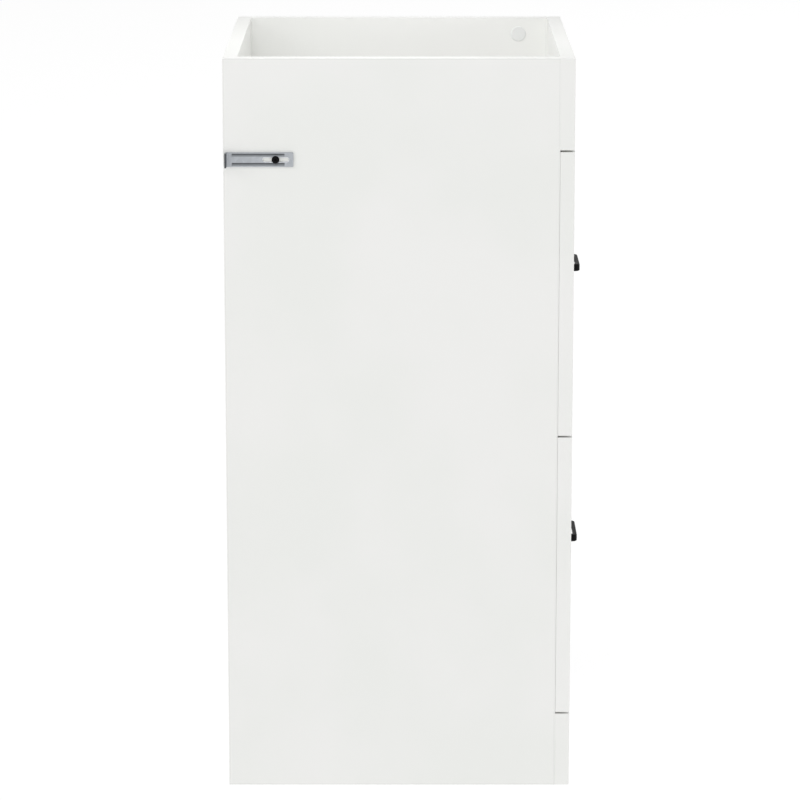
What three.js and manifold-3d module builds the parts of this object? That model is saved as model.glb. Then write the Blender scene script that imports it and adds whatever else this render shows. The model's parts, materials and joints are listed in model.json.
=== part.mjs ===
// A floor-standing bathroom vanity cabinet with two drawers on roller runners, open at the top for a
// basin and at the back for the plumbing, with an angle bracket on each side to hold it to the wall.
// Millimetres. X runs across the cabinet, the drawers open towards -Y, +Z is up, and the origin is on
// the floor under the middle of the whole object, handles and brackets included.

import * as THREE from "three";
import { mergeVertices } from "three/addons/utils/BufferGeometryUtils.js";
import Module from "manifold-3d";

const wasm = await Module();
wasm.setup();

// ---------------------------------------------------------------- driving dimensions

const WIDTH = 410;
const DEPTH = 385; // from the wall to the face of the drawer fronts
const HEIGHT = 827;
const BOARD = 16; // melamine-faced chipboard of the cabinet and the fronts
const FRONT_GAP = 2; // between neighbouring fronts
const CLOSING_GAP = 0.2; // between a closed drawer front and the edges of the side panels
const FASCIA_HEIGHT = 101;
const DRAWER_FRONT_HEIGHT = 318;
const BACK_RAIL_HEIGHT = 100;

const BOX_BOARD = 12; // drawer sides and backs
const BOX_DEPTH = 320;
const BOX_BOTTOM = 3; // hardboard
const BOX_BOTTOM_RISE = 10; // from the lower edge of a drawer side to its bottom
const GROOVE_DEPTH = 5;
const GROOVE_PLAY = 0.3;
const UPPER_BOX_HEIGHT = 140;
const LOWER_BOX_HEIGHT = 200;
const BOX_RISE = 18; // from the lower edge of a drawer front to its box
const TRAP_WIDTH = 140; // clear size of the cut-out that lets the upper drawer pass the basin's trap
const TRAP_DEPTH = 130;

const RUNNER_LENGTH = 300;
const RUNNER_SPACE = 12.5; // between a drawer box and a side panel
const STEEL = 1.2; // sheet of the runners
const ROLLER_RADIUS = 8.5;
const ROLLER_WIDTH = 7;
const ROLLER_CHAMFER = 0.8;
const AXLE_RADIUS = 3;
const ROLLER_BORE = 3.1;
const ROLLER_SETBACK = 14; // from the end of a runner to the axle
const ROLLING_GAP = 0.2;

const HANDLE_REACH = 15;
const HANDLE_CENTRES = 64; // between the two screws
const HANDLE_LEG = 7;
const HANDLE_BAR = 4;
const HANDLE_HEIGHT = 8;
const HANDLE_CORNER = 6; // outer radius between a leg and the bar
const HANDLE_CROOK = 3; // inner radius there

const BRACKET_LENGTH = 75;
const BRACKET_SETBACK = 2; // from the wall to the leg, which the slot lets slide back against it
const BRACKET_HEIGHT = 16;
const BRACKET_STEEL = 2;
const BRACKET_BEND = 1.5; // inside radius
const BRACKET_LEG = 13; // reach of the wall leg from the side panel
const BRACKET_DROP = 111; // from the top of the cabinet to the bracket's centre line
const BRACKET_GROOVE = { start: 7.5, end: 66.5, width: 3.4, depth: 0.8, offset: 5.2 };
const BRACKET_SLOT = { start: 43.3, end: 68.2, radius: 2.5 }; // its round ends' centres, from the leg
const WALL_SCREW_HOLE = 3.2; // radius

const SCREW = { head: 4.2, headHeight: 2.4, shank: 2.1, tip: 2 }; // pan head; head and shank are radii
const SCREW_RECESS = { span: 4.6, width: 1, depth: 0.8 }; // cross-shaped
const BRACKET_SCREW_BITE = 12; // in the side panel
const BRACKET_SCREW_SETBACK = 57.5; // from the wall
const HANDLE_SCREW_BITE = 8; // in the handle's leg

const CAM_SETBACK = 34; // from the front edge of a side panel
const CAM_DROP = 19; // from the top of the cabinet
const CAM_BORE = { radius: 7.5, depth: 13 };
const CAM_SLOT = { length: 9, width: 1.2, depth: 1 }; // for a screwdriver
const CAM_COVER = { radius: 9, rim: 0.6, chamfer: 0.8, thickness: 1.6 };
const BOLT_THREAD = { radius: 2.5, depth: 11 };
const BOLT_SHANK = { radius: 3.3, length: 26 };
const BOLT_NECK = { radius: 2, length: 5 };
const BOLT_HEAD = { radius: 3.3, length: 4 };
const BOLT_POCKET = { width: 7.6, past: 4 }; // open to the bolt's side, and so far past the cam's axis
const DOWEL = { radius: 4, length: 30, inFront: 10 };
const FASCIA_DOWEL_DROP = 75; // from the top of the cabinet
const PLINTH_DOWEL_Z = 36;
const BORE_PLAY = 0.3; // between a bore and what sits in it

// ---------------------------------------------------------------- derived places

const PLINTH_HEIGHT = HEIGHT - FASCIA_HEIGHT - 2 * DRAWER_FRONT_HEIGHT - 3 * FRONT_GAP;
const Y_FACE = HANDLE_REACH - (DEPTH + HANDLE_REACH) / 2;
const Y_REAR = Y_FACE + DEPTH;
const Y_BOX = Y_FACE + BOARD; // back of a drawer front
const Y_CARCASS = Y_BOX + CLOSING_GAP; // front edges of the side panels
const PANEL_DEPTH = Y_REAR - Y_CARCASS;
const INNER_HALF = WIDTH / 2 - BOARD;
const BOX_HALF = INNER_HALF - RUNNER_SPACE;
const LOWER_FRONT_Z = PLINTH_HEIGHT + FRONT_GAP;
const UPPER_FRONT_Z = LOWER_FRONT_Z + DRAWER_FRONT_HEIGHT + FRONT_GAP;
const EDGE_X = -(WIDTH - BOARD) / 2; // middle of the left side panel's thickness
const FASCIA_DOWEL_Z = HEIGHT - FASCIA_DOWEL_DROP;
const ROUND = 16; // sides of a small round bar
const FINE_ROUND = 24; // sides of a larger one
const OVERSHOOT = 1; // how far a cutting tool passes a face that it opens

// ---------------------------------------------------------------- materials

const finish = (color, roughness, metalness = 0) =>
  new THREE.MeshStandardMaterial({ color, roughness, metalness });

const whiteMelamine = finish(0xecedea, 0.55);
const whiteHardboard = finish(0xe4e4e0, 0.7);
const galvanisedSteel = finish(0xb4b8bc, 0.35, 0.9);
const whiteEnamel = finish(0xe9e9e6, 0.4);
const nylon = finish(0xd9d8d0, 0.5);
const zincAlloy = finish(0x9a9c9e, 0.4, 0.9);
const blackSteel = finish(0x17181a, 0.45, 0.6);
const greyPlastic = finish(0xe0e1e0, 0.5);
const beech = finish(0xd2b48a, 0.75);

// ---------------------------------------------------------------- shapes and booleans

const box = (w, d, h, x = 0, y = 0, z = 0) => new THREE.BoxGeometry(w, d, h).translate(x, y, z);

// A round bar along one axis between two stations, through (u, v) in the other two coordinates.
function bar(axis, radius, from, to, u, v, sides = ROUND) {
  const geometry = new THREE.CylinderGeometry(radius, radius, to - from, sides);
  const middle = (from + to) / 2;
  if (axis === "x") return geometry.rotateZ(Math.PI / 2).translate(middle, u, v);
  if (axis === "z") return geometry.rotateX(Math.PI / 2).translate(u, v, middle);
  return geometry.translate(u, middle, v);
}

function polygon(points) {
  return new THREE.Shape(points.map(([u, v]) => new THREE.Vector2(u, v)));
}

function extrude(shape, depth, curveSegments = 5) {
  return new THREE.ExtrudeGeometry(shape, { depth, bevelEnabled: false, curveSegments });
}

// Pushes an outline drawn in X and Z along Y, between two stations.
function extrudeAlongY(shape, from, to) {
  return extrude(shape, to - from).rotateX(Math.PI / 2).translate(0, to, 0);
}

// Turns a closed outline of [radius, station] pairs into a ring or spindle along X.
function turned(points, sides) {
  const outline = points.map(([radius, station]) => new THREE.Vector2(radius, station));
  return new THREE.LatheGeometry(outline, sides).rotateZ(-Math.PI / 2);
}

function solidOf(geometry) {
  const bare = geometry.clone();
  bare.deleteAttribute("normal");
  bare.deleteAttribute("uv");
  const merged = mergeVertices(bare, 1e-4);
  const vertProperties = merged.attributes.position.array;
  const triVerts = new Uint32Array(merged.index.array);
  return new wasm.Manifold(new wasm.Mesh({ numProp: 3, vertProperties, triVerts }));
}

function geometryOf(solid) {
  const mesh = solid.getMesh();
  const geometry = new THREE.BufferGeometry();
  geometry.setAttribute("position", new THREE.BufferAttribute(mesh.vertProperties, 3));
  geometry.setIndex(new THREE.BufferAttribute(mesh.triVerts, 1));
  geometry.computeVertexNormals();
  return geometry;
}

function cut(base, ...tools) {
  return geometryOf(tools.reduce((left, tool) => left.subtract(solidOf(tool)), solidOf(base)));
}

function join(base, ...more) {
  return geometryOf(more.reduce((sum, piece) => sum.add(solidOf(piece)), solidOf(base)));
}

function piece(name, geometry, material, x = 0, y = 0, z = 0) {
  const mesh = new THREE.Mesh(geometry, material.clone());
  mesh.name = name;
  mesh.position.set(x, y, z);
  return mesh;
}

function group(...children) {
  const made = new THREE.Group();
  made.add(...children);
  return made;
}

// Calls a maker of left-hand pieces for both sides, and mirrors what it makes for the right.
function bothSides(make) {
  return ["left", "right"].map((side) => {
    const made = make(side);
    made.scale.x = side === "left" ? 1 : -1;
    return made;
  });
}

// ---------------------------------------------------------------- joining hardware

function camBolt() {
  const shank = BOLT_SHANK.length;
  const neck = shank + BOLT_NECK.length;
  return join(
    bar("y", BOLT_THREAD.radius, -BOLT_THREAD.depth + BORE_PLAY, OVERSHOOT, 0, 0),
    bar("y", BOLT_SHANK.radius, CLOSING_GAP, shank, 0, 0),
    bar("y", BOLT_NECK.radius, shank - OVERSHOOT, neck + OVERSHOOT, 0, 0),
    bar("y", BOLT_HEAD.radius, neck, neck + BOLT_HEAD.length, 0, 0),
  );
}

function camLock() {
  const radius = CAM_BORE.radius - BORE_PLAY;
  const face = BOARD / 2 - BORE_PLAY;
  const { width, past } = BOLT_POCKET;
  return cut(
    bar("x", radius, face - CAM_BORE.depth + 2 * BORE_PLAY, face, 0, 0, FINE_ROUND),
    box(width, radius + past, width, 0, (past - radius) / 2 - OVERSHOOT, 0),
    box(2 * CAM_SLOT.depth, CAM_SLOT.length, CAM_SLOT.width, face, 0, 0),
  );
}

function camCover() {
  const { radius, rim, chamfer, thickness } = CAM_COVER;
  const outline = [[0, 0], [radius, 0], [radius, rim], [radius - chamfer, rim + chamfer], [0, thickness]];
  return turned(outline, FINE_ROUND);
}

const dowel = () => bar("y", DOWEL.radius, -DOWEL.inFront, DOWEL.length - DOWEL.inFront, 0, 0);

// ---------------------------------------------------------------- cabinet

function sidePanel() {
  const front = -PANEL_DEPTH / 2;
  const inner = BOARD / 2;
  const top = HEIGHT / 2;
  const dowelBore = (z) =>
    bar("y", DOWEL.radius + BORE_PLAY, front - OVERSHOOT,
      front + DOWEL.length - DOWEL.inFront + BORE_PLAY, 0, z - HEIGHT / 2);
  return cut(
    box(BOARD, PANEL_DEPTH, HEIGHT),
    bar("x", CAM_BORE.radius, inner - CAM_BORE.depth, inner + OVERSHOOT, front + CAM_SETBACK,
      top - CAM_DROP, FINE_ROUND),
    bar("y", BOLT_SHANK.radius + BORE_PLAY, front - OVERSHOOT, front + CAM_SETBACK, 0, top - CAM_DROP),
    dowelBore(FASCIA_DOWEL_Z),
    dowelBore(PLINTH_DOWEL_Z),
    bar("x", SCREW.shank + BORE_PLAY, -inner - OVERSHOOT, -inner + BRACKET_SCREW_BITE + BORE_PLAY,
      PANEL_DEPTH / 2 - BRACKET_SCREW_SETBACK, top - BRACKET_DROP),
  );
}

// A front that is held to the edges of both side panels, bored for what joins it to them.
function fixedFront(height, bores) {
  const tools = bores.flatMap(({ radius, depth, z }) =>
    [EDGE_X, -EDGE_X].map((x) => bar("y", radius, BOARD / 2 - depth, BOARD / 2 + OVERSHOOT, x, z)));
  return cut(box(WIDTH, BOARD, height), ...tools);
}

// The bracket lies along the left side panel, with its wall leg at the rear, turned outwards. Its own
// origin is on the panel's face, at the back of the wall leg, on its centre line.
function wallBracket() {
  const outer = -BRACKET_STEEL;
  const bend = BRACKET_BEND;
  const outline = new THREE.Shape()
    .moveTo(0, 0)
    .lineTo(-BRACKET_LEG, 0)
    .lineTo(-BRACKET_LEG, -BRACKET_STEEL)
    .lineTo(outer - bend, -BRACKET_STEEL)
    .absarc(outer - bend, -BRACKET_STEEL - bend, bend, Math.PI / 2, 0, true)
    .lineTo(outer, -BRACKET_LENGTH)
    .lineTo(0, -BRACKET_LENGTH);
  const { depth, width, offset } = BRACKET_GROOVE;
  const grooveLength = BRACKET_GROOVE.end - BRACKET_GROOVE.start;
  const grooveY = -(BRACKET_GROOVE.start + BRACKET_GROOVE.end) / 2;
  const { start, end, radius } = BRACKET_SLOT;
  const slotEnd = (y) => bar("x", radius, outer - OVERSHOOT, OVERSHOOT, y, 0);
  return cut(
    extrude(outline, BRACKET_HEIGHT).translate(0, 0, -BRACKET_HEIGHT / 2),
    box(2 * depth, grooveLength, width, outer, grooveY, offset),
    box(2 * depth, grooveLength, width, outer, grooveY, -offset),
    box(BRACKET_STEEL + 2 * OVERSHOOT, end - start, 2 * radius, outer / 2, -(start + end) / 2),
    slotEnd(-start),
    slotEnd(-end),
    bar("y", WALL_SCREW_HOLE, outer - OVERSHOOT, OVERSHOOT, (outer - BRACKET_LEG) / 2, 0),
  );
}

// A pan-head screw along X, with its head resting on the plane at the origin and its tip towards +X.
function panHeadScrew(reach) {
  const { head, headHeight, shank, tip } = SCREW;
  const { span, width, depth } = SCREW_RECESS;
  const outline = [
    [0, -headHeight], [head * 0.62, -headHeight], [head * 0.9, -headHeight * 0.72],
    [head, -headHeight * 0.3], [head, 0], [shank, 0], [shank, reach - tip], [0, reach],
  ];
  return cut(
    turned(outline, ROUND),
    box(2 * depth, span, width, -headHeight),
    box(2 * depth, width, span, -headHeight),
  );
}

function cabinet() {
  const panelY = (Y_CARCASS + Y_REAR) / 2;
  const frontY = Y_CARCASS - BOARD / 2;
  const inside = 2 * INNER_HALF;
  const railY = Y_REAR - BOARD / 2;
  const bottomZ = PLINTH_HEIGHT - BOARD / 2;
  const bracketZ = HEIGHT - BRACKET_DROP;
  const camZ = HEIGHT - CAM_DROP;
  const fasciaZ = HEIGHT - FASCIA_HEIGHT / 2;
  const dowelBore = (z) => ({
    radius: DOWEL.radius + BORE_PLAY,
    depth: DOWEL.inFront + BORE_PLAY,
    z,
  });
  const boltBore = { radius: BOLT_THREAD.radius + BORE_PLAY, depth: BOLT_THREAD.depth, z: camZ - fasciaZ };
  const sides = bothSides((side) => group(
    piece(`side_panel_${side}`, sidePanel(), whiteMelamine, EDGE_X, panelY, HEIGHT / 2),
    piece(`cam_lock_${side}`, camLock(), zincAlloy, EDGE_X, Y_CARCASS + CAM_SETBACK, camZ),
    piece(`cam_cover_${side}`, camCover(), greyPlastic, -INNER_HALF, Y_CARCASS + CAM_SETBACK, camZ),
    piece(`cam_bolt_${side}`, camBolt(), zincAlloy, EDGE_X, Y_CARCASS, camZ),
    piece(`fascia_dowel_${side}`, dowel(), beech, EDGE_X, Y_CARCASS, FASCIA_DOWEL_Z),
    piece(`plinth_dowel_${side}`, dowel(), beech, EDGE_X, Y_CARCASS, PLINTH_DOWEL_Z),
    piece(`wall_bracket_${side}`, wallBracket(), galvanisedSteel, -WIDTH / 2, Y_REAR - BRACKET_SETBACK,
      bracketZ),
    piece(`bracket_screw_${side}`, panHeadScrew(BRACKET_SCREW_BITE + BRACKET_STEEL), blackSteel,
      -WIDTH / 2 - BRACKET_STEEL, Y_REAR - BRACKET_SCREW_SETBACK, bracketZ),
    cabinetRunner("upper", side, UPPER_FRONT_Z + BOX_RISE),
    cabinetRunner("lower", side, LOWER_FRONT_Z + BOX_RISE),
  ));
  return group(
    ...sides,
    piece("top_fascia", fixedFront(FASCIA_HEIGHT, [boltBore, dowelBore(FASCIA_DOWEL_Z - fasciaZ)]),
      whiteMelamine, 0, frontY, fasciaZ),
    piece("plinth_front", fixedFront(PLINTH_HEIGHT, [dowelBore(PLINTH_DOWEL_Z - PLINTH_HEIGHT / 2)]),
      whiteMelamine, 0, frontY, PLINTH_HEIGHT / 2),
    piece("bottom_panel", box(inside, PANEL_DEPTH, BOARD), whiteMelamine, 0, panelY, bottomZ),
    piece("back_rail_top", box(inside, BOARD, BACK_RAIL_HEIGHT), whiteMelamine,
      0, railY, HEIGHT - BACK_RAIL_HEIGHT / 2),
    piece("back_rail_bottom", box(inside, BOARD, BACK_RAIL_HEIGHT), whiteMelamine,
      0, railY, PLINTH_HEIGHT + BACK_RAIL_HEIGHT / 2),
  );
}

// ---------------------------------------------------------------- roller runners

// Heights in a runner, from the lower edge of the drawer side: the floor of the cabinet member's
// channel, the underside of its upper flange, the two axles and the flange of the drawer member.
const CHANNEL_FLOOR = 0.5;
const CHANNEL_ROOF = CHANNEL_FLOOR + 2 * ROLLER_RADIUS + 3 * ROLLING_GAP;
const REAR_AXLE_Z = CHANNEL_FLOOR + ROLLER_RADIUS + ROLLING_GAP;
const FRONT_AXLE_Z = CHANNEL_ROOF + 2 * STEEL - ROLLER_RADIUS;
const TRACK_Z = FRONT_AXLE_Z + ROLLER_RADIUS + ROLLING_GAP;
const FLANGE_REACH = 10; // of the cabinet member's flanges, from the side panel
const ROOF_SETBACK = 28; // the upper flange starts behind the front roller
const SIDE_PLAY = 0.3; // between a roller and what is beside it on its axle
const RIVET_HEAD = { radius: 4.2, thickness: 0.9 };
const RUNNER_INSET = 2; // from the front edge of the side panel
const MEMBER_INSET = 0.5; // from the back of the drawer front
const FRONT_AXLE_Y = Y_CARCASS + RUNNER_INSET + ROLLER_SETBACK;
const REAR_AXLE_Y = Y_BOX + MEMBER_INSET + RUNNER_LENGTH - ROLLER_SETBACK;

// A nylon roller on an axle along X, its bore running through it, between x = 0 and its width.
function roller() {
  const edge = ROLLER_RADIUS - ROLLER_CHAMFER;
  const outline = [
    [ROLLER_BORE, 0], [edge, 0], [ROLLER_RADIUS, ROLLER_CHAMFER],
    [ROLLER_RADIUS, ROLLER_WIDTH - ROLLER_CHAMFER], [edge, ROLLER_WIDTH],
    [ROLLER_BORE, ROLLER_WIDTH], [ROLLER_BORE, 0],
  ];
  return turned(outline, FINE_ROUND);
}

// The axle is riveted to its member for good, so the two are one piece. It runs along +X from the web
// at x = 0, with a collar beside the web and a head beyond the roller.
function rivetedAxle(collar) {
  const head = collar + ROLLER_WIDTH + 2 * SIDE_PLAY;
  return [
    bar("x", RIVET_HEAD.radius, -STEEL / 2, collar, 0, 0),
    bar("x", AXLE_RADIUS, 0, head + STEEL / 2, 0, 0),
    bar("x", RIVET_HEAD.radius, head, head + RIVET_HEAD.thickness, 0, 0),
  ];
}

const FRONT_COLLAR = 0.5;
const REAR_COLLAR = 1.2;

// The member on the left side panel: a channel open towards the drawer, with a roller at its front.
// Heights count from the lower edge of the drawer side, and x from the panel's face.
function cabinetRunner(level, side, z) {
  const channel = polygon([
    [0, CHANNEL_FLOOR - STEEL], [FLANGE_REACH, CHANNEL_FLOOR - STEEL], [FLANGE_REACH, CHANNEL_FLOOR],
    [STEEL, CHANNEL_FLOOR], [STEEL, CHANNEL_ROOF], [FLANGE_REACH, CHANNEL_ROOF],
    [FLANGE_REACH, CHANNEL_ROOF + STEEL], [0, CHANNEL_ROOF + STEEL],
  ]);
  const start = Y_CARCASS + RUNNER_INSET;
  const roofGap = box(FLANGE_REACH, ROOF_SETBACK + OVERSHOOT, 4, STEEL + FLANGE_REACH / 2,
    start + (ROOF_SETBACK - OVERSHOOT) / 2, CHANNEL_ROOF + 2);
  const axle = rivetedAxle(FRONT_COLLAR).map((bit) => bit.translate(STEEL, FRONT_AXLE_Y, FRONT_AXLE_Z));
  const member = join(cut(extrudeAlongY(channel, start, start + RUNNER_LENGTH), roofGap), ...axle);
  const rollerX = -INNER_HALF + STEEL + FRONT_COLLAR + SIDE_PLAY;
  return group(
    piece(`${level}_cabinet_runner_${side}`, member, whiteEnamel, -INNER_HALF, 0, z),
    piece(`${level}_front_roller_${side}`, roller(), nylon, rollerX, FRONT_AXLE_Y, z + FRONT_AXLE_Z),
  );
}

// The member on the left drawer side: it wraps the lower edge of the side, its flange runs on the
// cabinet member's roller, and its own roller runs in the cabinet member's channel.
function drawerRunner(level, side) {
  const web = RUNNER_SPACE - STEEL;
  const wrap = RUNNER_SPACE + BOX_BOARD;
  const profile = polygon([
    [web, -STEEL], [wrap, -STEEL], [wrap, 0], [RUNNER_SPACE, 0], [RUNNER_SPACE, TRACK_Z + STEEL],
    [STEEL + FRONT_COLLAR, TRACK_Z + STEEL], [STEEL + FRONT_COLLAR, TRACK_Z], [web, TRACK_Z],
  ]);
  const start = MEMBER_INSET;
  const axleY = REAR_AXLE_Y - Y_BOX;
  const axle = rivetedAxle(REAR_COLLAR).map((bit) =>
    bit.rotateZ(Math.PI).translate(web, axleY, REAR_AXLE_Z));
  const member = join(extrudeAlongY(profile, start, start + RUNNER_LENGTH), ...axle);
  const rollerX = -INNER_HALF + web - REAR_COLLAR - SIDE_PLAY - ROLLER_WIDTH;
  return group(
    piece(`${level}_drawer_runner_${side}`, member, whiteEnamel, -INNER_HALF, 0, 0),
    piece(`${level}_rear_roller_${side}`, roller(), nylon, rollerX, axleY, REAR_AXLE_Z),
  );
}

// ---------------------------------------------------------------- drawers

function handle() {
  const half = (HANDLE_CENTRES + HANDLE_LEG) / 2;
  const reach = -HANDLE_REACH;
  const corner = HANDLE_CORNER;
  const crook = HANDLE_CROOK;
  const inner = half - HANDLE_LEG;
  const under = reach + HANDLE_BAR;
  const outline = new THREE.Shape()
    .moveTo(half, 0)
    .lineTo(inner, 0)
    .lineTo(inner, under + crook)
    .absarc(inner - crook, under + crook, crook, 0, -Math.PI / 2, true)
    .lineTo(-inner + crook, under)
    .absarc(-inner + crook, under + crook, crook, -Math.PI / 2, -Math.PI, true)
    .lineTo(-inner, 0)
    .lineTo(-half, 0)
    .lineTo(-half, reach + corner)
    .absarc(-half + corner, reach + corner, corner, Math.PI, 1.5 * Math.PI, false)
    .lineTo(half - corner, reach)
    .absarc(half - corner, reach + corner, corner, 1.5 * Math.PI, 2 * Math.PI, false);
  const bores = [-1, 1].map((end) =>
    bar("y", SCREW.shank + BORE_PLAY, -HANDLE_SCREW_BITE - BORE_PLAY, OVERSHOOT,
      end * HANDLE_CENTRES / 2, 0));
  return cut(extrude(outline, HANDLE_HEIGHT).translate(0, 0, -HANDLE_HEIGHT / 2), ...bores);
}

// The front, with a groove for the drawer's bottom and two bores for the handle's screws.
function drawerFront() {
  const groove = GROOVE_DEPTH + OVERSHOOT;
  const grooveZ = BOX_RISE + BOX_BOTTOM_RISE + BOX_BOTTOM / 2 - DRAWER_FRONT_HEIGHT / 2;
  const bores = [-1, 1].map((end) =>
    bar("y", SCREW.shank + BORE_PLAY, -BOARD / 2 - OVERSHOOT, BOARD / 2 + OVERSHOOT,
      end * HANDLE_CENTRES / 2, 0));
  return cut(
    box(WIDTH, BOARD, DRAWER_FRONT_HEIGHT),
    box(2 * (BOX_HALF - BOX_BOARD + GROOVE_DEPTH), groove, BOX_BOTTOM + 2 * GROOVE_PLAY,
      0, BOARD / 2 - GROOVE_DEPTH + groove / 2, grooveZ),
    ...bores,
  );
}

// The left drawer side, grooved along its inner face for the bottom, from its outer lower edge.
function drawerSide(height) {
  const low = BOX_BOTTOM_RISE - GROOVE_PLAY;
  const high = BOX_BOTTOM_RISE + BOX_BOTTOM + GROOVE_PLAY;
  const shallow = BOX_BOARD - GROOVE_DEPTH;
  const profile = polygon([
    [0, 0], [BOX_BOARD, 0], [BOX_BOARD, low], [shallow, low], [shallow, high], [BOX_BOARD, high],
    [BOX_BOARD, height], [0, height],
  ]);
  return extrudeAlongY(profile, 0, BOX_DEPTH);
}

// The bottom, with its front edge in the groove of the drawer front, and a notch in the middle of its
// rear edge where the drawer has to pass the trap.
function drawerBottom(trap) {
  const half = BOX_HALF - BOX_BOARD + GROOVE_DEPTH - GROOVE_PLAY;
  const front = -GROOVE_DEPTH + GROOVE_PLAY;
  const notchHalf = TRAP_WIDTH / 2;
  const notchY = BOX_DEPTH - TRAP_DEPTH;
  const notch = trap
    ? [[notchHalf, BOX_DEPTH], [notchHalf, notchY], [-notchHalf, notchY], [-notchHalf, BOX_DEPTH]]
    : [];
  const outline = [[-half, front], [half, front], [half, BOX_DEPTH], ...notch, [-half, BOX_DEPTH]];
  return extrude(polygon(outline), BOX_BOTTOM);
}

// The walls that stand on the bottom across the back of a drawer, as [name, width, depth, x, y].
function backWalls(trap) {
  const inside = 2 * (BOX_HALF - BOX_BOARD);
  const backY = BOX_DEPTH - BOX_BOARD / 2;
  if (!trap) return [["back", inside, BOX_BOARD, 0, backY]];
  const cheekX = (TRAP_WIDTH + BOX_BOARD) / 2;
  const stub = (inside - TRAP_WIDTH) / 2 - BOX_BOARD;
  const stubX = (inside - stub) / 2;
  const cheekY = BOX_DEPTH - TRAP_DEPTH / 2;
  const innerY = BOX_DEPTH - TRAP_DEPTH - BOX_BOARD / 2;
  return [
    ["back_left", stub, BOX_BOARD, -stubX, backY],
    ["back_right", stub, BOX_BOARD, stubX, backY],
    ["trap_wall_left", BOX_BOARD, TRAP_DEPTH, -cheekX, cheekY],
    ["trap_wall_right", BOX_BOARD, TRAP_DEPTH, cheekX, cheekY],
    ["trap_wall_front", TRAP_WIDTH + 2 * BOX_BOARD, BOX_BOARD, 0, innerY],
  ];
}

// A drawer's own origin is in the middle of the back of its front, level with the box's lower edge.
function drawer(level, frontZ, boxHeight, trap) {
  const wallHeight = boxHeight - BOX_BOTTOM_RISE - BOX_BOTTOM;
  const wallZ = boxHeight - wallHeight / 2;
  const frontMiddle = DRAWER_FRONT_HEIGHT / 2 - BOX_RISE;
  const sides = bothSides((side) => group(
    piece(`${level}_drawer_side_${side}`, drawerSide(boxHeight), whiteMelamine, -BOX_HALF, 0, 0),
    drawerRunner(level, side),
  ));
  const screws = ["left", "right"].map((side, i) => {
    const screw = piece(`${level}_handle_screw_${side}`, panHeadScrew(BOARD + HANDLE_SCREW_BITE),
      zincAlloy, (i - 0.5) * HANDLE_CENTRES, 0, frontMiddle);
    screw.rotation.z = -Math.PI / 2;
    return screw;
  });
  const made = group(
    piece(`${level}_drawer_front`, drawerFront(), whiteMelamine, 0, -BOARD / 2, frontMiddle),
    ...sides,
    ...backWalls(trap).map(([name, width, depth, x, y]) =>
      piece(`${level}_drawer_${name}`, box(width, depth, wallHeight), whiteMelamine, x, y, wallZ)),
    piece(`${level}_drawer_bottom`, drawerBottom(trap), whiteHardboard, 0, 0, BOX_BOTTOM_RISE),
    piece(`${level}_handle`, handle(), blackSteel, 0, -BOARD, frontMiddle),
    ...screws,
  );
  made.position.set(0, Y_BOX, frontZ + BOX_RISE);
  return made;
}

const vanity = group(
  cabinet(),
  drawer("upper", UPPER_FRONT_Z, UPPER_BOX_HEIGHT, true),
  drawer("lower", LOWER_FRONT_Z, LOWER_BOX_HEIGHT, false),
);

export default vanity;
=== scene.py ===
"""The bathroom vanity cabinet's looks: materials, rounded edges, metal parts, light and camera.

Everything but the camera's lens is in metres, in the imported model's own frame: X across the cabinet,
the drawers open towards -Y, Z up from the floor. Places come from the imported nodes' boxes. Sizes that
are easier to read in millimetres are written as a number times MM.
"""

import json
import math

import bmesh
import bpy
from mathutils import Matrix, Vector


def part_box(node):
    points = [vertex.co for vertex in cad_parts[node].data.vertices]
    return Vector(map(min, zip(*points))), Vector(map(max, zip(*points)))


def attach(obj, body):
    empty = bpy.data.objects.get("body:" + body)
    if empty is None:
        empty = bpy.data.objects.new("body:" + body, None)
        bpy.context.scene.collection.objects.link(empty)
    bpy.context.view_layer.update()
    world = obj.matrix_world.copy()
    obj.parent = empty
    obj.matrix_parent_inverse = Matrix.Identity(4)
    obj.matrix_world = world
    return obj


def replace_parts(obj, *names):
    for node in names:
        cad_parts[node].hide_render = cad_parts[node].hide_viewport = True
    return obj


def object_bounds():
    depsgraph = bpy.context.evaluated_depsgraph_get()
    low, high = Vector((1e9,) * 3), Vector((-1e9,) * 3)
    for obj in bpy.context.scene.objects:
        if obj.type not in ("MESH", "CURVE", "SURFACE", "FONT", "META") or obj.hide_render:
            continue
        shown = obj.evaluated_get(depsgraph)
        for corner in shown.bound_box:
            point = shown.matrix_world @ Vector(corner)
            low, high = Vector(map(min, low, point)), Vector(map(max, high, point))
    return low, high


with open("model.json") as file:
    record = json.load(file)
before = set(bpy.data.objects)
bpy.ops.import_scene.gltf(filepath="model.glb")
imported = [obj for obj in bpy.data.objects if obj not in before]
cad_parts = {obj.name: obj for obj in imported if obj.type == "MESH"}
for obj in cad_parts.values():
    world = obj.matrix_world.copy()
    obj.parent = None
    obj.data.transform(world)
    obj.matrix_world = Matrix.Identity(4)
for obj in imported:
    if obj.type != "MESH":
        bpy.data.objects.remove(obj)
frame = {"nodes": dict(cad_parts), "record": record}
cad_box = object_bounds()

MM = 0.001
SIDES = {"left": -1, "right": 1}
LEVELS = ("upper", "lower")


# ------------------------------------------------------------------ materials


def srgb(red, green, blue):
    """A colour of 0 to 255 levels as the linear colour that a shader takes."""
    levels = [c / 255 for c in (red, green, blue)]
    linear = [c / 12.92 if c <= 0.04045 else ((c + 0.055) / 1.055) ** 2.4 for c in levels]
    return (*linear, 1.0)


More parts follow.
